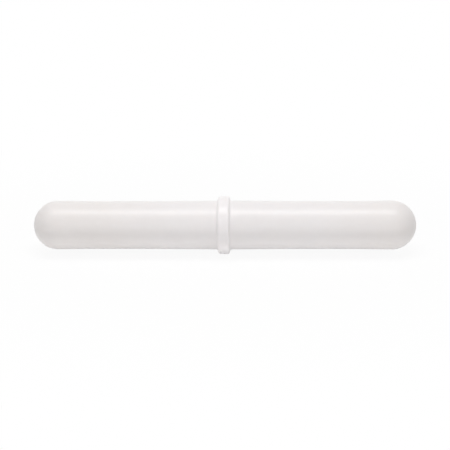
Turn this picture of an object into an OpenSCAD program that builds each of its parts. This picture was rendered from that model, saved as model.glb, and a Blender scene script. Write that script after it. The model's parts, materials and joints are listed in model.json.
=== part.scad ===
// Magnetic stir bar: a round bar with domed ends and a pivot ring round its
// middle. A seamless white jacket is moulded all round a cast magnet rod, and
// the ring is part of the same moulding. The bar lies along X with its centre
// at the origin, and in use it spins about Z on the rim of its ring.

/* [Bar] */
// Overall length, from tip to tip
bar_length = 152; // [60:1:250]
// Diameter of the straight barrel, and of the domes that end it
bar_diameter = 19; // [14:0.5:40]

/* [Pivot ring] */
// How far the ring's rim stands out from the barrel
ring_rise = 2; // [1.9:0.1:5]
// Width of the ring from flank to flank
ring_width = 4.6; // [3:0.1:12]
// Radius of the rounded edges of the rim
ring_edge = 1; // [0.2:0.05:1]
// Radius of the hollow blend between each flank and the barrel
ring_root = 0.8; // [0.1:0.05:0.85]

/* [Jacket and magnet] */
// Thickness of the jacket round the magnet
jacket_wall = 1.55; // [0.8:0.05:3]
// Gap between the magnet and the pocket that is moulded round it
magnet_gap = 0.03; // [0.01:0.01:0.2]
// How far the magnet reaches into each dome
magnet_reach = 2.5; // [0:0.5:3]
// Width of the chamfer round each end of the magnet
magnet_chamfer = 1.2; // [0.4:0.1:2]

/* [Hidden] */

// Sides of the barrel's round, and of the ring's small rounds
$fn = 72;
small_round = 32;

bar_radius = bar_diameter / 2;
barrel_length = bar_length - bar_diameter;
ring_radius = bar_radius + ring_rise;
magnet_radius = bar_radius - jacket_wall - magnet_gap;
magnet_length = barrel_length + 2 * magnet_reach;

// Turns a half profile round the bar's axis. The profile has its distance from
// the axis along x, and its place along the bar along y.
module turned_about_bar() {
    rotate([0, 90, 0]) rotate_extrude() children();
}

// Half profile of the barrel and the dome on each end of it
module barrel_profile() {
    intersection() {
        union() {
            square([bar_diameter, barrel_length], center = true);
            for (side = [-1, 1])
                translate([0, side * barrel_length / 2]) circle(bar_radius);
        }
        translate([0, -bar_length / 2]) square(bar_length);
    }
}

// Half profile of the pivot ring, from inside the barrel out to its rim: square
// flanks, a flat rim with rounded edges, and a hollow blend down to the barrel
module ring_profile() {
    half_width = ring_width / 2;
    inside = bar_radius / 2;
    difference() {
        union() {
            band(inside, bar_radius + ring_root, half_width + ring_root);
            band(inside, ring_radius - ring_edge, half_width);
            band(inside, ring_radius, half_width - ring_edge);
            small_rounds(ring_radius - ring_edge, half_width - ring_edge, ring_edge);
        }
        small_rounds(bar_radius + ring_root, half_width + ring_root, ring_root);
    }
}

// Part of the ring's profile: from one radius out to another, and as far to
// each side of the ring's middle
module band(from_radius, to_radius, half_width) {
    translate([from_radius, -half_width])
        square([to_radius - from_radius, 2 * half_width]);
}

// A small round on each side of the ring's middle, centred at a radius
module small_rounds(radius, half_width, round_radius) {
    for (side = [-1, 1])
        translate([radius, side * half_width])
            circle(round_radius, $fn = small_round);
}

// A rod along the bar's axis with a chamfer round each end, grown by a gap
module chamfered_rod(gap) {
    radius = magnet_radius + gap;
    half_length = magnet_length / 2 + gap;
    // The gap stays the same across the chamfer when its width grows by this much
    chamfer = magnet_chamfer + gap * (2 - sqrt(2));
    turned_about_bar()
        polygon([[0, -half_length], [radius - chamfer, -half_length],
                 [radius, chamfer - half_length], [radius, half_length - chamfer],
                 [radius - chamfer, half_length], [0, half_length]]);
}

// The white jacket: barrel, domes and ring in one moulding, with a pocket
// inside that closes on the magnet from every side
module jacket() {
    color("whitesmoke")
        difference() {
            turned_about_bar() {
                barrel_profile();
                ring_profile();
            }
            chamfered_rod(magnet_gap);
        }
}

// The cast magnet rod, sealed in the jacket's pocket
module magnet() {
    color("dimgray") chamfered_rod(0);
}

jacket();
magnet();
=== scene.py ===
"""A magnetic stir bar with a pivot ring: its white jacket, the magnet sealed
inside it, and the plain studio that it lies in."""

import json
import math

import bpy
from bpy.props import (FloatProperty, FloatVectorProperty, IntProperty,
                       PointerProperty)
from mathutils import Matrix, Vector


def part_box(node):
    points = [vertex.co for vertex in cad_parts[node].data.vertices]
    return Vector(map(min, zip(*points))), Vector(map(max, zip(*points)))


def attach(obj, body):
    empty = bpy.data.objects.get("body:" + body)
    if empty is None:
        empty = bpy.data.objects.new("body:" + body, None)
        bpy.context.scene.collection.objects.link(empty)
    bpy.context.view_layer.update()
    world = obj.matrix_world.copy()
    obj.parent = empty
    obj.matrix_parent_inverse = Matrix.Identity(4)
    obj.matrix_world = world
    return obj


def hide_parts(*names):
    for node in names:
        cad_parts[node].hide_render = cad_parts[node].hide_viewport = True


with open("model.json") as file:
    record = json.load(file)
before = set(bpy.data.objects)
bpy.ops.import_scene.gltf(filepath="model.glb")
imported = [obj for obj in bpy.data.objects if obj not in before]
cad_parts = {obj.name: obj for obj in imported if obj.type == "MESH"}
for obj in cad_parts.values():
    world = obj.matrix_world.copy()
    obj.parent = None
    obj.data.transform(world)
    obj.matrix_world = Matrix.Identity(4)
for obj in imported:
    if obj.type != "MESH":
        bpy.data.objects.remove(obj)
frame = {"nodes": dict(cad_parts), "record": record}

bl_info = {
    "name": "Magnetic Stir Bar",
    "version": (1, 0, 0),
    "blender": (4, 5, 0),
    "location": "3D View > Sidebar > Stir Bar",
    "description": "Makes a jacketed magnetic stir bar with a pivot ring, "
                   "and the studio that it lies in",
    "category": "Add Mesh",
}

MM = 0.001
FULL_TURN = 2 * math.pi
WHITE = (1.0, 1.0, 1.0)

# What the frame says of the bar: its boxes, and the round places that its
# record gives as pins
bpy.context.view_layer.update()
JACKET_LOW, JACKET_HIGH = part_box("jacket")
MAGNET_LOW, MAGNET_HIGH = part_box("magnet")
PINS = {mount["name"]: mount["dims"] for mount in frame["record"]["mounts"]}
BAR_LENGTH = JACKET_HIGH.x - JACKET_LOW.x
BAR_RADIUS = PINS["barrel_left"]["r_mm"] * MM
RIM_RADIUS = PINS["pivot_ring"]["r_mm"] * MM
RIM_FLAT = PINS["pivot_ring"]["length_mm"] * MM
MAGNET_END = MAGNET_HIGH.x
MAGNET_RADIUS = -MAGNET_LOW.z

# Small sizes of the solids that the frame doesn't give
RIM_EDGE = 1.0 * MM
RING_ROOT = 0.8 * MM
MAGNET_GAP = 0.03 * MM
MAGNET_CHAMFER = 1.2 * MM

# How the jacket's mesh is made: the seed and sizes of its unevenness, how many
# times longer the steps along the pocket are, and how near two points are one
SKIN_SEED = 11.0
BROAD_WAVES = 22 * MM
CLOSE_WAVES = 6 * MM
POCKET_STEP = 8.0
SAME_PLACE = 0.001 * MM

# The map that a finish is baked through. The outer skin takes this
# share of its height, and each half of the bar keeps this far from the edge of
# its place. The left half ends just past the middle, so that a face that lies
# across the middle counts as left
BAKE_MAP = "OFBake"
SKIN_SHARE = 0.92
MAP_EDGE = 0.01
MAP_MIDDLE = 0.001

# How far from the bar's middle the floor's own light and shade starts to fade
# into plain white, and where it is gone
SHADE_FULL = 40 * MM
SHADE_GONE = 140 * MM

# The camera sees nothing nearer or farther than this
NEAREST_SEEN = 10 * MM
FARTHEST_SEEN = 20.0


# ---------------------------------------------------------------- settings

class JacketSettings(bpy.types.PropertyGroup):
    """Sizes and colours of the white jacket"""

    length: FloatProperty(
        name="Length", description="Overall length of the bar, tip to tip",
        default=BAR_LENGTH, min=0.06, max=0.25, precision=4,
        subtype="DISTANCE", unit="LENGTH")
    diameter: FloatProperty(
        name="Diameter", description="Diameter of the barrel and its domes",
        default=2 * BAR_RADIUS, min=0.014, max=0.04, precision=4,
        subtype="DISTANCE", unit="LENGTH")
    ring_rise: FloatProperty(
        name="Ring Rise", description="How far the ring's rim stands out from "
        "the barrel",
        default=RIM_RADIUS - BAR_RADIUS, min=0.0019, max=0.005, precision=4,
        subtype="DISTANCE", unit="LENGTH")
    ring_width: FloatProperty(
        name="Ring Width", description="Width of the ring, flank to flank",
        default=RIM_FLAT + 2 * RIM_EDGE, min=0.003, max=0.012, precision=4,
        subtype="DISTANCE", unit="LENGTH")
    ring_edge: FloatProperty(
        name="Ring Edge", description="Radius of the rim's rounded edges",
        default=RIM_EDGE, min=0.0002, max=0.001, precision=5,
        subtype="DISTANCE", unit="LENGTH")
    ring_root: FloatProperty(
        name="Ring Root", description="Radius of the hollow blend between a "
        "flank and the barrel",
        default=RING_ROOT, min=0.0001, max=0.00085, precision=5,
        subtype="DISTANCE", unit="LENGTH")
    magnet_gap: FloatProperty(
        name="Magnet Gap", description="Gap between the magnet and the pocket "
        "that is moulded round it",
        default=MAGNET_GAP, min=0.00001, max=0.0002, precision=6,
        subtype="DISTANCE", unit="LENGTH")
    magnet_chamfer: FloatProperty(
        name="Magnet Chamfer", description="Width of the chamfer round each "
        "end of the magnet",
        default=MAGNET_CHAMFER, min=0.0004, max=0.002, precision=5,
        subtype="DISTANCE", unit="LENGTH")
    swell: FloatProperty(
        name="Swell", description="How much fuller the barrel's radius is "
        "beside the ring",
        default=0.2 * MM, min=0.0, max=0.0005, precision=5,
        subtype="DISTANCE", unit="LENGTH")
    swell_reach: FloatProperty(
        name="Swell Reach", description="How far from the ring the barrel is "
        "fuller",
        default=16 * MM, min=0.002, max=0.05, precision=4,
        subtype="DISTANCE", unit="LENGTH")
    end_swell: FloatProperty(
        name="End Swell", description="How much fuller the barrel's radius is "
        "where its domes begin",
        default=0.15 * MM, min=0.0, max=0.0005, precision=5,
        subtype="DISTANCE", unit="LENGTH")
    end_swell_reach: FloatProperty(
        name="End Swell Reach", description="How far from the start of a dome "
        "the bar is fuller",
        default=9 * MM, min=0.002, max=0.05, precision=4,
        subtype="DISTANCE", unit="LENGTH")
    unevenness: FloatProperty(
        name="Unevenness", description="How far the moulded skin wanders in "
        "and out",
        default=0.03 * MM, min=0.0, max=0.0003, precision=6,
        subtype="DISTANCE", unit="LENGTH")
    station_spacing: FloatProperty(
        name="Station Spacing", description="Longest step between two rings "
        "of points on the barrel",
        default=1.5 * MM, min=0.0004, max=0.01, precision=4,
        subtype="DISTANCE", unit="LENGTH")
    dome_steps: IntProperty(
        name="Dome Steps", description="Steps from the barrel to a tip",
        default=34, min=8, max=96)
    round_steps: IntProperty(
        name="Round Steps", description="Steps in each small round of the "
        "ring",
        default=9, min=3, max=32)
    sides: IntProperty(
        name="Sides", description="Steps round the bar",
        default=176, min=24, max=360)
    colour: FloatVectorProperty(
        name="Jacket Colour", description="Where the jacket is thick, in the "
        "ring and the domes",
        default=(0.931, 0.897, 0.899), min=0.0, max=1.0, size=3,
        subtype="COLOR")
    thin_colour: FloatVectorProperty(
        name="Thin Colour", description="Where the dark magnet is close "
        "behind the skin",
        default=(0.883, 0.853, 0.850), min=0.0, max=1.0, size=3,
        subtype="COLOR")
    # A cream tint, but also darker than the jacket: painted shade towards the
    # ends
    cream_colour: FloatVectorProperty(
        name="Cream Colour", description="The creamier white towards the ends",
        default=(0.862, 0.824, 0.806), min=0.0, max=1.0, size=3,
        subtype="COLOR")
    roughness: FloatProperty(
        name="Roughness", description="Roughness of the waxy skin",
        default=0.33, min=0.05, max=1.0, subtype="FACTOR")


class MagnetSettings(bpy.types.PropertyGroup):
    """Colours of the cast magnet"""

    metal_colour: FloatVectorProperty(
        name="Metal Colour", description="The cast alloy's bare metal",
        default=(0.36, 0.35, 0.34), min=0.0, max=1.0, size=3,
        subtype="COLOR")
    scale_colour: FloatVectorProperty(
        name="Scale Colour", description="The dark skin left by the mould",
        default=(0.135, 0.128, 0.122), min=0.0, max=1.0, size=3,
        subtype="COLOR")
    grain: FloatProperty(
        name="Grain", description="Size of the casting's grain",
        default=0.9 * MM, min=0.0002, max=0.005, precision=5,
        subtype="DISTANCE", unit="LENGTH")


class StageSettings(bpy.types.PropertyGroup):
    """The studio: floor, light and camera"""

    floor_size: FloatProperty(
        name="Floor Size", description="Side of the square floor",
        default=6.0, min=0.5, max=20.0, subtype="DISTANCE", unit="LENGTH")
    floor_colour: FloatVectorProperty(
        name="Floor Colour", description="Colour of the lit floor",
        default=(0.95, 0.95, 0.95), min=0.0, max=1.0, size=3,
        subtype="COLOR")
    shadow_share: FloatProperty(
        name="Shadow Share", description="How much of the floor's own light "
        "and shade is seen close to the bar; the rest is plain white",
        default=0.08, min=0.0, max=1.0, subtype="FACTOR")
    room_light: FloatProperty(
        name="Room Light", description="Strength of the room's soft light "
        "from straight above",
        default=0.05, min=0.0, max=2.0)
    front_light: FloatProperty(
        name="Front Light", description="Strength of the room's soft light "
        "from the horizon in front of the bar",
        default=0.59, min=0.0, max=3.0)
    back_light: FloatProperty(
        name="Back Light", description="Strength of the room's soft light "
        "from the horizon behind the bar",
        default=1.09, min=0.0, max=3.0)
    softbox_light: FloatProperty(
        name="Softbox Light", description="Power of the softbox overhead",
        default=2.56, min=0.0, max=100.0, unit="POWER")
    softbox_width: FloatProperty(
        name="Softbox Width", description="Size of the softbox along the bar",
        default=0.50, min=0.05, max=3.0, subtype="DISTANCE", unit="LENGTH")
    softbox_depth: FloatProperty(
        name="Softbox Depth", description="Size of the softbox across the bar",
        default=0.22, min=0.05, max=3.0, subtype="DISTANCE", unit="LENGTH")
    softbox_distance: FloatProperty(
        name="Softbox Distance", description="From the bar to the softbox",
        default=0.60, min=0.1, max=5.0, subtype="DISTANCE", unit="LENGTH")
    softbox_side: FloatProperty(
        name="Softbox Side", description="How far to the right of the bar's "
        "middle the softbox hangs",
        default=0.0, min=-1.0, max=1.0, subtype="DISTANCE", unit="LENGTH")
    softbox_height: FloatProperty(
        name="Softbox Height", description="How far the softbox is above the "
        "horizon, as seen from the bar",
        default=math.radians(84.7), min=0.0, max=math.pi / 2,
        subtype="ANGLE", unit="ROTATION")
    panel_light: FloatProperty(
        name="Panel Light", description="Power of the wide panel in front",
        default=2.55, min=0.0, max=100.0, unit="POWER")
    panel_width: FloatProperty(
        name="Panel Width", description="Size of the panel along the bar",
        default=1.6, min=0.05, max=5.0, subtype="DISTANCE", unit="LENGTH")
    panel_depth: FloatProperty(
        name="Panel Depth", description="Size of the panel across the bar",
        default=0.8, min=0.05, max=5.0, subtype="DISTANCE", unit="LENGTH")
    panel_distance: FloatProperty(
        name="Panel Distance", description="From the bar to the panel",
        default=1.2, min=0.1, max=8.0, subtype="DISTANCE", unit="LENGTH")
    panel_side: FloatProperty(
        name="Panel Side", description="How far to the right of the bar's "
        "middle the panel stands",
        default=0.0, min=-5.0, max=5.0, subtype="DISTANCE", unit="LENGTH")
    panel_height: FloatProperty(
        name="Panel Height", description="How far the panel is above the "
        "horizon, as seen from the bar",
        default=math.radians(6), min=0.0, max=math.pi / 2,
        subtype="ANGLE", unit="ROTATION")
    lens: FloatProperty(
        name="Lens", description="Focal length of the camera",
        default=135.0, min=20.0, max=300.0, subtype="DISTANCE_CAMERA")
    seen_width: FloatProperty(
        name="Seen Width", description="Width that the camera takes in, at "
        "the bar",
        default=178.9 * MM, min=0.05, max=1.0, precision=4,
        subtype="DISTANCE", unit="LENGTH")
    camera_aim: FloatProperty(
        name="Camera Aim", description="Where along the bar the camera is "
        "aimed, from the bar's middle",
        default=0.31 * MM, min=-0.05, max=0.05, precision=5,
        subtype="DISTANCE", unit="LENGTH")
    camera_side: FloatProperty(
        name="Camera Side", description="How far the camera is to the right "
        "of straight ahead, as seen from the bar",
        default=math.radians(2.8), min=-math.pi, max=math.pi,
        subtype="ANGLE", unit="ROTATION")
    camera_height: FloatProperty(
        name="Camera Height", description="How far the camera is above the "
        "horizon, as seen from the bar",
        default=math.radians(22), min=0.0, max=math.pi / 2,
        subtype="ANGLE", unit="ROTATION")


# ------------------------------------------------------------ node writing

class Socket:
    """A node's output, which can be used in sums like a number."""

    def __init__(self, tree, socket):
        self.tree = tree
        self.socket = socket

    def output(self, name):
        """Another output of the same node."""
        return Socket(self.tree, self.tree.find(self.socket.node.outputs, name))

    def __add__(self, other):
        return self.tree.maths("ADD", self, other)

    def __radd__(self, other):
        return self.tree.maths("ADD", other, self)

    def __sub__(self, other):
        return self.tree.maths("SUBTRACT", self, other)

    def __rsub__(self, other):
        return self.tree.maths("SUBTRACT", other, self)

    def __mul__(self, other):
        return self.tree.maths("MULTIPLY", self, other)

    def __rmul__(self, other):
        return self.tree.maths("MULTIPLY", other, self)

    def __truediv__(self, other):
        return self.tree.maths("DIVIDE", self, other)

    def __rtruediv__(self, other):
        return self.tree.maths("DIVIDE", other, self)

    def __pow__(self, other):
        return self.tree.maths("POWER", self, other)

    def __rpow__(self, other):
        return self.tree.maths("POWER", other, self)

    def __neg__(self):
        return self.tree.maths("MULTIPLY", self, -1.0)

    def __abs__(self):
        return self.tree.maths("ABSOLUTE", self)


class Tree:
    """Writes the nodes of one tree."""

    def __init__(self, tree):
        self.tree = tree
        tree.nodes.clear()

    @staticmethod
    def find(sockets, name):
        """The socket in use that has this name, or this place in the row."""
        if isinstance(name, int):
            return sockets[name]
        return next(s for s in sockets if s.enabled and s.name == name)

    def node(self, kind, settings=None, inputs=None):
        """Adds a node: first its settings, then its sockets' values or links.
        Gives the first output that is in use."""
        made = self.tree.nodes.new(kind)
        for name, value in (settings or {}).items():
            if name == "items":
                while len(made.index_switch_items) < value:
                    made.index_switch_items.new()
            else:
                setattr(made, name, value)
        for name, value in (inputs or {}).items():
            socket = self.find(made.inputs, name)
            if isinstance(value, Socket):
                self.tree.links.new(value.socket, socket)
            elif isinstance(value, list):
                for source in value:
                    self.tree.links.new(source.socket, socket)
            elif socket.type == "RGBA" and len(value) == 3:
                socket.default_value = (*value, 1.0)
            else:
                socket.default_value = value
        given = [s for s in made.outputs if s.enabled]
        return Socket(self, given[0]) if given else None

    def maths(self, operation, *values):
        """Adds a Math node."""
        return self.node("ShaderNodeMath", {"operation": operation},
                         dict(enumerate(values)))

    def rise(self, value, start, end):
        """Rises smoothly from 0 at the start to 1 at the end."""
        return self.node("ShaderNodeMapRange",
                         {"interpolation_type": "SMOOTHSTEP"},
                         {"Value": value, "From Min": start, "From Max": end})

    def hump(self, value):
        """1 where the value is 0, and falls away smoothly to both sides."""
        return self.maths("EXPONENT", -(value * value))

    def spread(self, value, low, high):
        """Spreads a value that runs from 0 to 1 over another range."""
        return low + value * (high - low)

    def noise(self, place, size, detail=2.0, roughness=0.5, seed=0.0):
        """Soft random shades of about this size, from 0 to 1."""
        return self.node("ShaderNodeTexNoise", {"noise_dimensions": "4D"},
                         {"Vector": place, "W": seed, "Scale": 1 / size,
                          "Detail": detail, "Roughness": roughness})

    def mix(self, share, colour, other):
        """Mixes two colours."""
        return self.node("ShaderNodeMix", {"data_type": "RGBA"},
                         {"Factor": share, "A": colour, "B": other})

    def scale(self, vector, factor):
        """Makes a vector longer, or a colour lighter, by one factor."""
        return self.node("ShaderNodeVectorMath", {"operation": "SCALE"},
                         {"Vector": vector, "Scale": factor})

    def stretch(self, place, factors):
        """Stretches a place by a factor along each axis."""
        return self.node("ShaderNodeVectorMath", {"operation": "MULTIPLY"},
                         {0: place, 1: factors})

    def point(self, x, y, z):
        """A point from its three numbers."""
        return self.node("ShaderNodeCombineXYZ", None,
                         {"X": x, "Y": y, "Z": z})

    def parts(self, vector):
        """The three numbers of a vector."""
        split = self.node("ShaderNodeSeparateXYZ", None, {"Vector": vector})
        return [split.output(axis) for axis in "XYZ"]

    def bump(self, height, depth, strength):
        """A surface roughened by a height from 0 to about 1, this deep."""
        return self.node("ShaderNodeBump", None,
                         {"Strength": strength, "Distance": depth,
                          "Height": height})


def new_finish(name):
    """An empty material, the writer of its nodes, and the place on the piece
    that they read."""
    finish = bpy.data.materials.new(name)
    finish.use_nodes = True
    tree = Tree(finish.node_tree)
    return finish, tree, tree.node("ShaderNodeTexCoord").output("Object")


def put_out(tree, shader, kind="ShaderNodeOutputMaterial"):
    """Ends a shader tree."""
    tree.node(kind, None, {"Surface": shader})


# ------------------------------------------------------------------ jacket

TURNED_INPUTS = {
    "Float": ["Length", "Diameter", "Ring Rise", "Ring Width", "Ring Edge",
              "Ring Root", "Pocket Length", "Pocket Radius", "Pocket Chamfer",
              "Swell", "Swell Reach", "End Swell", "End Swell Reach",
              "Unevenness", "Station Spacing", "Seed"],
    "Int": ["Dome Steps", "Round Steps", "Sides"],
    "Material": ["Material"],
}


def by_corner(tree, data_type, values):
    """A value for each corner of a profile, picked by the corner's number."""
    return tree.node(
        "GeometryNodeIndexSwitch",
        {"data_type": data_type, "items": len(values)},
        {"Index": tree.node("GeometryNodeInputIndex"),
         **{str(i): value for i, value in enumerate(values)}})


def profile_line(tree, corners):
    """A curve through a half profile's corners, each given by its place along
    the bar and its distance from the axis."""
    line = tree.node("GeometryNodeResampleCurve", {"mode": "COUNT"},
                     {"Curve": tree.node("GeometryNodeCurvePrimitiveLine"),
                      "Count": len(corners)})
    places = [tree.point(x, r, 0.0) for x, r in corners]
    return tree.node("GeometryNodeSetPosition", None,
                     {"Geometry": line,
                      "Position": by_corner(tree, "VECTOR", places)})


def outer_line(tree, size):
    """The jacket's outer half profile: domes, barrel, and the ring with its
    rounded edges and hollow roots."""
    half = size["Length"] / 2
    radius = size["Diameter"] / 2
    rim = radius + size["Ring Rise"]
    flank = size["Ring Width"] / 2

    # Each corner has the radius of the round that takes it off, and the number
    # of steps in that round
    plain = (0.0, 1)
    dome = (radius, size["Dome Steps"])
    root = (size["Ring Root"], size["Round Steps"])
    edge = (size["Ring Edge"], size["Round Steps"])
    corners = [
        (-half, 0.0, plain), (-half, radius, dome),
        (-flank, radius, root), (-flank, rim, edge),
        (flank, rim, edge), (flank, radius, root),
        (half, radius, dome), (half, 0.0, plain),
    ]
    line = profile_line(tree, [(x, r) for x, r, _ in corners])
    rounds = [taken_off for _, _, (taken_off, _) in corners]
    steps = [count for _, _, (_, count) in corners]
    return tree.node("GeometryNodeFilletCurve", {"mode": "POLY"},
                     {"Curve": line, "Limit Radius": True,
                      "Count": by_corner(tree, "INT", steps),
                      "Radius": by_corner(tree, "FLOAT", rounds)})


def pocket_line(tree, size):
    """The pocket's half profile. It runs the other way, so that the pocket's
    faces look inwards."""
    end = size["Pocket Length"] / 2
    bore = size["Pocket Radius"]
    chamfer = size["Pocket Chamfer"]
    return profile_line(tree, [
        (end, 0.0), (end, bore - chamfer), (end - chamfer, bore),
        (chamfer - end, bore), (-end, bore - chamfer), (-end, 0.0)])


def with_stations(tree, line, spacing):
    """Adds points to a line's long straight stretches, at this spacing."""
    here = tree.node("GeometryNodeInputPosition")
    following = tree.node(
        "GeometryNodeFieldAtIndex",
        {"data_type": "FLOAT_VECTOR", "domain": "POINT"},
        {"Value": here, "Index": tree.node("GeometryNodeInputIndex") + 1})
    step = tree.node("ShaderNodeVectorMath", {"operation": "DISTANCE"},
                     {0: here, 1: following})
    return tree.node("GeometryNodeSubdivideCurve", None,
                     {"Curve": line,
                      "Cuts": tree.maths("FLOOR", step / spacing)})


def at_station(tree, line, row, data_type, value):
    """What a value is at the point of the line with this number."""
    return tree.node("GeometryNodeSampleIndex",
                     {"data_type": data_type, "domain": "POINT"},
                     {"Geometry": line, "Value": value, "Index": row})


def mapped(tree, sheet, walked, from_middle, round_part, band):
    """Gives a flat sheet the map that its finish is baked through. Its band of
    the map's height holds the bar's left half and, above it, the right half,
    each cut open along the underside."""
    right_half = tree.node(
        "GeometryNodeFieldOnDomain", {"data_type": "FLOAT", "domain": "FACE"},
        {"Value": tree.maths("GREATER_THAN", from_middle, MAP_MIDDLE)})
    along = tree.spread(walked * 2 - right_half, MAP_EDGE, 1 - MAP_EDGE)
    across = tree.spread(round_part, MAP_EDGE, 1 - MAP_EDGE) + right_half
    return tree.node(
        "GeometryNodeStoreNamedAttribute",
        {"data_type": "FLOAT2", "domain": "CORNER"},
        {"Geometry": sheet, "Name": BAKE_MAP,
         "Value": tree.point(along, tree.spread(across / 2, *band), 0.0)})


def turned_skin(tree, line, sides, band):
    """The closed skin that a half profile makes when it turns about the bar's
    axis, with its map in this band of the map's height."""
    # A flat sheet, 1 by 1 about its middle, with a row of points for each
    # station of the profile and a column for each step round the bar
    stations = tree.node(
        "GeometryNodeAttributeDomainSize", {"component": "CURVE"},
        {"Geometry": line})
    sheet = tree.node("GeometryNodeMeshGrid", None,
                      {"Size X": 1.0, "Size Y": 1.0, "Vertices X": stations,
                       "Vertices Y": sides + 1})
    here = tree.node("GeometryNodeInputPosition")
    from_middle, from_top, _ = tree.parts(here)
    row = tree.maths("ROUND", (from_middle + 0.5) * (stations - 1))

    walked = at_station(tree, line, row, "FLOAT",
                        tree.node("GeometryNodeSplineParameter"))
    sheet = mapped(tree, sheet, walked, from_middle, from_top + 0.5, band)

    along, out, _ = tree.parts(at_station(tree, line, row, "FLOAT_VECTOR", here))
    turn = from_top * FULL_TURN
    sheet = tree.node(
        "GeometryNodeSetPosition", None,
        {"Geometry": sheet,
         "Position": tree.point(along, out * tree.maths("SINE", turn),
                                out * tree.maths("COSINE", turn))})
    return tree.node("GeometryNodeMergeByDistance", None,
                     {"Geometry": sheet, "Distance": SAME_PLACE})


def as_moulded(tree, skin, size):
    """Makes the barrel a little fuller beside the ring and where its domes
    begin, and the whole skin wander slightly in and out, but not at the tips."""
    radius = size["Diameter"] / 2
    rim = radius + size["Ring Rise"]
    dome_start = size["Length"] / 2 - radius
    here = tree.node("GeometryNodeInputPosition")
    x, y, z = tree.parts(here)
    reach = (y * y + z * z) ** 0.5

    by_ring = tree.hump(x / size["Swell Reach"]) * size["Swell"]
    by_ring = by_ring * (1 - tree.rise(reach, radius, rim))
    by_dome = tree.hump((abs(x) - dome_start) / size["End Swell Reach"])
    by_dome = by_dome * size["End Swell"]
    broad = tree.noise(here, BROAD_WAVES, detail=1.0, seed=size["Seed"])
    close = tree.noise(here, CLOSE_WAVES, detail=1.0, seed=size["Seed"] + 7.0)
    wander = (broad - 0.5) * 2 + (close - 0.5) * 0.5
    grown = by_ring + by_dome + wander * size["Unevenness"]
    grown = grown * tree.rise(reach / radius, 0.0, 1.0)

    # A point on the axis has no way out, and stays where it is
    divisor = tree.maths("MAXIMUM", reach, SAME_PLACE)
    outwards = tree.point(0.0, y / divisor, z / divisor)
    return tree.node("GeometryNodeSetPosition", None,
                     {"Geometry": skin, "Offset": tree.scale(outwards, grown)})


def shaded(tree, skin, smooth):
    """Shades a skin smooth or flat."""
    return tree.node("GeometryNodeSetShadeSmooth", None,
                     {"Geometry": skin, "Shade Smooth": smooth})


def turned_jacket_tree():
    """Geometry nodes that turn the jacket about the bar's axis: domes, barrel
    and ring in one closed skin, and the closed pocket inside it."""
    group = bpy.data.node_groups.new("turned jacket", "GeometryNodeTree")
    for kind, names in TURNED_INPUTS.items():
        for name in names:
            group.interface.new_socket(name, in_out="INPUT",
                                       socket_type="NodeSocket" + kind)
    group.interface.new_socket("Geometry", in_out="OUTPUT",
                               socket_type="NodeSocketGeometry")
    tree = Tree(group)
    given = tree.node("NodeGroupInput")
    size = {name: given.output(name)
            for names in TURNED_INPUTS.values() for name in names}

    spacing = size["Station Spacing"]
    line = with_stations(tree, outer_line(tree, size), spacing)
    skin = turned_skin(tree, line, size["Sides"], (0.0, SKIN_SHARE))
    skin = shaded(tree, as_moulded(tree, skin, size), True)

    spacing = spacing * POCKET_STEP
    line = with_stations(tree, pocket_line(tree, size), spacing)
    pocket = turned_skin(tree, line, size["Sides"], (SKIN_SHARE, 1.0))
    pocket = shaded(tree, pocket, False)

    both = tree.node("GeometryNodeJoinGeometry", None,
                     {"Geometry": [skin, pocket]})
    both = tree.node("GeometryNodeRealizeInstances", None, {"Geometry": both})
    both = tree.node("GeometryNodeSetMaterial", None,
                     {"Geometry": both, "Material": size["Material"]})
    tree.node("NodeGroupOutput", None, {"Geometry": both})
    return group


def grown_mesh(name, group, values):
    """An object with the plain mesh that a node group makes of its inputs."""
    piece = bpy.data.objects.new(name, bpy.data.meshes.new(name))
    bpy.context.scene.collection.objects.link(piece)
    modifier = piece.modifiers.new("made by nodes", "NODES")
    modifier.node_group = group
    for item in group.interface.items_tree:
        if item.item_type == "SOCKET" and item.in_out == "INPUT":
            modifier[item.identifier] = values[item.name]
    seen = bpy.context.evaluated_depsgraph_get()
    mesh = bpy.data.meshes.new_from_object(piece.evaluated_get(seen))
    piece.modifiers.clear()
    blank = piece.data
    piece.data = mesh
    bpy.data.meshes.remove(blank)
    mesh.name = name
    # The nodes put their material after an empty slot
    while mesh.materials and mesh.materials[0] is None:
        mesh.materials.pop(index=0)
    if not mesh.polygons:
        raise RuntimeError(f"{name} has no faces")
    return piece


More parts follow.
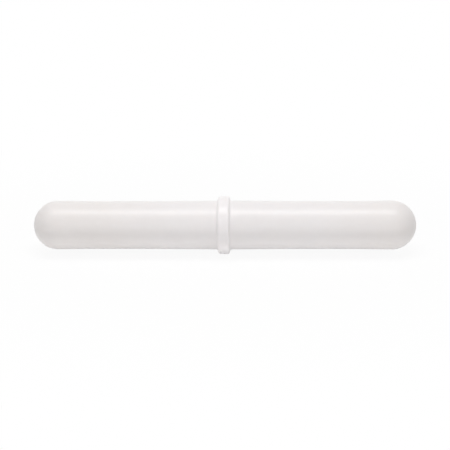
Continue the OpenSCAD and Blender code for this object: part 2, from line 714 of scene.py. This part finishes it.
def jacket_finish(settings):
    """Waxy white moulded plastic: greyer where the magnet is close behind it,
    creamier towards the ends, darker there and at the tips as painted shade,
    with faint clouds, turning marks and pits."""
    finish, tree, place = new_finish("white_waxy_plastic")
    x, _, _ = tree.parts(place)
    from_middle = abs(x)
    half = settings.length / 2
    flank = settings.ring_width / 2

    # Where the finish changes. The cream tint, with painted shade that darkens
    # the ends, sets in sooner to the left of the ring than to its right
    on_ring = 1 - tree.rise(from_middle, flank - 0.2 * MM, flank + 0.3 * MM)
    past_magnet = tree.rise(from_middle, MAGNET_END - 5 * MM,
                            MAGNET_END + 1.5 * MM)
    over_magnet = (1 - on_ring) * (1 - past_magnet)
    towards_end = tree.rise(abs(x - 10 * MM), 22 * MM, half - 10 * MM)
    painted_tip_shade = tree.rise(from_middle, half - 12 * MM, half)

    clouds = tree.noise(place, 9 * MM, detail=3.0, roughness=0.55, seed=1.0)
    mottle = tree.noise(place, 1.6 * MM, detail=4.0, roughness=0.6, seed=2.0)
    white = tree.mix(over_magnet, settings.colour, settings.thin_colour)
    # The creamier white is also darker: painted shade towards the ends
    white = tree.mix(towards_end * 0.8, white, settings.cream_colour)
    shade = tree.spread(clouds, 0.975, 1.02) * tree.spread(mottle, 0.984, 1.014)
    # The tips are painted darker: painted shade where the domes face sideways,
    # away from the light
    white = tree.scale(white, shade * tree.spread(painted_tip_shade, 1.0, 0.94))

    # Lines left by the tool that turned the skin, fine along the barrel and a
    # little coarser on the ring
    drawn_round = tree.stretch(place, (1.0, 0.02, 0.02))
    fine_lines = tree.noise(drawn_round, 0.35 * MM, roughness=0.6, seed=3.0)
    ring_lines = tree.noise(drawn_round, 0.7 * MM, roughness=0.6, seed=4.0)
    lines = fine_lines * (1 - on_ring) * 0.4 + ring_lines * on_ring
    pits = tree.noise(place, 0.45 * MM, detail=3.0, roughness=0.65, seed=5.0)
    dents = tree.noise(place, 3.5 * MM, seed=6.0)
    height = lines * 1.4 + pits * 0.6 + dents * 1.2

    # Smears along the bar, and a ring that its rolling has rubbed smoother
    smears = tree.noise(tree.stretch(place, (0.35, 1.0, 1.0)), 4 * MM,
                        detail=3.0, roughness=0.6, seed=8.0)
    rough = tree.spread(smears, settings.roughness - 0.05,
                        settings.roughness + 0.05) - on_ring * 0.04

    put_out(tree, tree.node("ShaderNodeBsdfPrincipled", None, {
        "Base Color": white, "Roughness": rough,
        "Normal": tree.bump(height, depth=0.03 * MM, strength=1.0),
        "IOR": 1.35, "Subsurface Weight": 0.25,
        "Subsurface Radius": (1.0, 0.95, 0.9), "Subsurface Scale": 0.8 * MM,
    }))
    return finish


class STIRBAR_OT_jacket(bpy.types.Operator):
    """Make the white jacket, with its domes, its pivot ring and its pocket"""

    bl_idname = "stirbar.jacket"
    bl_label = "Jacket"

    def execute(self, context):
        settings = context.scene.stirbar_jacket
        gap = settings.magnet_gap
        jacket = grown_mesh("white_jacket", turned_jacket_tree(), {
            "Length": settings.length,
            "Diameter": settings.diameter,
            "Ring Rise": settings.ring_rise,
            "Ring Width": settings.ring_width,
            "Ring Edge": settings.ring_edge,
            "Ring Root": settings.ring_root,
            "Pocket Length": 2 * (MAGNET_END + gap),
            "Pocket Radius": MAGNET_RADIUS + gap,
            # The gap stays the same across the chamfer
            "Pocket Chamfer": settings.magnet_chamfer + gap * (2 - math.sqrt(2)),
            "Swell": settings.swell,
            "Swell Reach": settings.swell_reach,
            "End Swell": settings.end_swell,
            "End Swell Reach": settings.end_swell_reach,
            "Unevenness": settings.unevenness,
            "Station Spacing": settings.station_spacing,
            "Seed": SKIN_SEED,
            "Dome Steps": settings.dome_steps,
            "Round Steps": settings.round_steps,
            "Sides": settings.sides,
            "Material": jacket_finish(settings),
        })
        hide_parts("jacket")
        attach(jacket, "root")
        return {"FINISHED"}


# ------------------------------------------------------------------ magnet

def magnet_finish(settings):
    """Cast magnet alloy: a dull dark mould skin over grainy grey metal, bare
    where the ends are ground and their chamfers rubbed."""
    finish, tree, place = new_finish("cast_magnet_alloy")
    x, _, _ = tree.parts(place)
    from_middle = abs(x)
    grains = tree.node("ShaderNodeTexVoronoi", {"feature": "F1"},
                       {"Vector": place, "Scale": 1 / settings.grain,
                        "Randomness": 1.0})
    sparkle, _, _ = tree.parts(grains.output("Color"))

    # The end faces are ground, and wear thins the skin towards them
    ground = tree.rise(from_middle, MAGNET_END - 0.25 * MM,
                       MAGNET_END - 0.05 * MM)
    worn = tree.rise(from_middle, MAGNET_END - 3 * MM, MAGNET_END)
    patches = tree.noise(place, 4 * MM, detail=5.0, roughness=0.65, seed=21.0)
    skin = tree.rise(patches - worn * 0.25, 0.30, 0.52) * (1 - ground)
    darker_grains = tuple(0.8 * part for part in settings.metal_colour)
    metal = tree.mix(sparkle * 0.5, settings.metal_colour, darker_grains)

    sand = tree.noise(place, 0.5 * MM, detail=4.0, roughness=0.65, seed=22.0)
    pits = tree.rise(tree.noise(place, 1.4 * MM, seed=23.0), 0.62, 0.78)
    strokes = tree.noise(tree.stretch(place, (1.0, 0.04, 1.0)), 0.3 * MM,
                         roughness=0.6, seed=24.0)
    cast = sand * 0.5 + skin * 0.3 - pits
    height = cast * (1 - ground) + strokes * ground * 0.25
    rough = tree.spread(skin, 0.40, 0.66) - ground * 0.10 + sparkle * 0.06
    put_out(tree, tree.node("ShaderNodeBsdfPrincipled", None, {
        "Base Color": tree.mix(skin, metal, settings.scale_colour),
        "Metallic": tree.spread(skin, 0.95, 0.6),
        "Roughness": rough,
        "Normal": tree.bump(height, depth=0.08 * MM, strength=0.6),
    }))
    return finish


class STIRBAR_OT_magnet(bpy.types.Operator):
    """Finish the cast magnet that the jacket is moulded round"""

    bl_idname = "stirbar.magnet"
    bl_label = "Magnet"

    def execute(self, context):
        magnet = frame["nodes"]["magnet"]
        finish = magnet_finish(context.scene.stirbar_magnet)
        magnet.data.materials.clear()
        magnet.data.materials.append(finish)
        return {"FINISHED"}


# ------------------------------------------------------------------- stage

def seen_directly(tree):
    """1 where the camera sees something, be it in a gloss or through a clear
    thing, and 0 where only its light is gathered."""
    path = tree.node("ShaderNodeLightPath")
    direct = path.output("Is Camera Ray") + path.output("Is Glossy Ray")
    direct = direct + path.output("Is Transmission Ray")
    return tree.maths("MINIMUM", direct, 1.0)


def floor_finish(settings):
    """White floor: seen as plain white, but for a share of its own light and
    shade close to the bar, which keeps the bar's shadow."""
    finish, tree, place = new_finish("white_floor")
    # The shade reaches further along the bar than across it
    away = tree.node("ShaderNodeVectorMath", {"operation": "LENGTH"},
                     {0: tree.stretch(place, (0.7, 1.0, 0.0))})
    shade = 1 - tree.rise(away, SHADE_FULL, SHADE_GONE)
    paper = tree.noise(place, 3 * MM, detail=3.0, roughness=0.6, seed=31.0)
    lit = tree.node("ShaderNodeBsdfDiffuse", None,
                    {"Color": tree.mix(paper * 0.03, settings.floor_colour,
                                       (0.85, 0.85, 0.85))})
    plain = tree.node("ShaderNodeEmission", None,
                      {"Color": WHITE, "Strength": 1.0})
    plain_share = seen_directly(tree) * (1 - settings.shadow_share * shade)
    put_out(tree, tree.node("ShaderNodeMixShader", None,
                            {0: plain_share, 1: lit, 2: plain}))
    return finish


def make_floor(settings, height):
    """The square floor at this height."""
    reach = settings.floor_size / 2
    mesh = bpy.data.meshes.new("floor")
    mesh.from_pydata([(-reach, -reach, height), (reach, -reach, height),
                      (reach, reach, height), (-reach, reach, height)],
                     [], [(0, 1, 2, 3)])
    mesh.materials.append(floor_finish(settings))
    floor = bpy.data.objects.new("floor", mesh)
    bpy.context.scene.collection.objects.link(floor)


def make_room_light(settings):
    """Soft light from all round, seen as plain white: strong from the walls
    and faint from the ceiling."""
    world = bpy.data.worlds.new("white_room")
    world.use_nodes = True
    bpy.context.scene.world = world
    tree = Tree(world.node_tree)
    # In a world, the first coordinates are the direction that is looked in
    _, ahead, up = tree.parts(tree.node("ShaderNodeTexCoord"))
    walls = tree.spread((ahead + 1) / 2, settings.front_light,
                        settings.back_light)
    soft = tree.spread(tree.maths("MAXIMUM", up, 0.0), walls,
                       settings.room_light)
    direct = seen_directly(tree)
    put_out(tree, tree.node("ShaderNodeBackground", None, {
        "Color": WHITE, "Strength": soft * (1 - direct) + direct,
    }), "ShaderNodeOutputWorld")


def make_lamp(name, power, width, depth, distance, height, side):
    """A soft rectangular lamp in front of the bar, this far from it, above
    the horizon and to the side, that shines at it."""
    lamp = bpy.data.lights.new(name, "AREA")
    lamp.shape = "RECTANGLE"
    lamp.size = width
    lamp.size_y = depth
    lamp.energy = power
    placed = bpy.data.objects.new(name, lamp)
    placed.location = (side, -math.cos(height) * distance,
                       math.sin(height) * distance)
    to_bar = -placed.location
    placed.rotation_euler = to_bar.to_track_quat("-Z", "Y").to_euler()
    bpy.context.scene.collection.objects.link(placed)


def make_camera(settings):
    """The camera in front of the bar, looking a little down on it."""
    lens = bpy.data.cameras.new("camera")
    lens.lens = settings.lens
    lens.clip_start = NEAREST_SEEN
    lens.clip_end = FARTHEST_SEEN
    distance = settings.seen_width * settings.lens / lens.sensor_width
    height, side = settings.camera_height, settings.camera_side
    away = Vector((math.sin(side) * math.cos(height),
                   -math.cos(side) * math.cos(height), math.sin(height)))
    camera = bpy.data.objects.new("camera", lens)
    camera.location = away * distance + Vector((settings.camera_aim, 0.0, 0.0))
    # Turned about its own view until the bar lies level
    upwards = away.cross(Vector((1.0, 0.0, 0.0))).normalized()
    turn = Matrix((upwards.cross(away), upwards, away)).transposed()
    camera.rotation_euler = turn.to_euler()
    bpy.context.scene.collection.objects.link(camera)
    bpy.context.scene.camera = camera


class STIRBAR_OT_stage(bpy.types.Operator):
    """Make the floor, the light and the camera"""

    bl_idname = "stirbar.stage"
    bl_label = "Stage"

    def execute(self, context):
        settings = context.scene.stirbar_stage
        make_camera(settings)
        make_floor(settings, JACKET_LOW.z)
        make_room_light(settings)
        make_lamp("softbox", settings.softbox_light, settings.softbox_width,
                  settings.softbox_depth, settings.softbox_distance,
                  settings.softbox_height, settings.softbox_side)
        make_lamp("panel", settings.panel_light, settings.panel_width,
                  settings.panel_depth, settings.panel_distance,
                  settings.panel_height, settings.panel_side)
        context.scene.view_settings.view_transform = "Standard"
        return {"FINISHED"}


# --------------------------------------------------------- panel and start

class STIRBAR_PT_panel(bpy.types.Panel):
    """The pieces of the stir bar and their settings"""

    bl_idname = "STIRBAR_PT_panel"
    bl_label = "Stir Bar"
    bl_space_type = "VIEW_3D"
    bl_region_type = "UI"
    bl_category = "Stir Bar"

    def draw(self, context):
        for operator, settings in (
                (STIRBAR_OT_jacket, context.scene.stirbar_jacket),
                (STIRBAR_OT_magnet, context.scene.stirbar_magnet),
                (STIRBAR_OT_stage, context.scene.stirbar_stage)):
            box = self.layout.box()
            box.operator(operator.bl_idname)
            for name in settings.__annotations__:
                box.prop(settings, name)


CLASSES = (JacketSettings, MagnetSettings, StageSettings, STIRBAR_OT_jacket,
           STIRBAR_OT_magnet, STIRBAR_OT_stage, STIRBAR_PT_panel)
SETTINGS = {"stirbar_jacket": JacketSettings,
            "stirbar_magnet": MagnetSettings,
            "stirbar_stage": StageSettings}


def register():
    for kind in CLASSES:
        bpy.utils.register_class(kind)
    for name, kind in SETTINGS.items():
        setattr(bpy.types.Scene, name, PointerProperty(type=kind))


def unregister():
    for name in SETTINGS:
        delattr(bpy.types.Scene, name)
    for kind in reversed(CLASSES):
        bpy.utils.unregister_class(kind)


def main():
    register()
    bpy.ops.stirbar.jacket()
    bpy.ops.stirbar.magnet()
    bpy.ops.stirbar.stage()


if __name__ == "__main__":
    main()
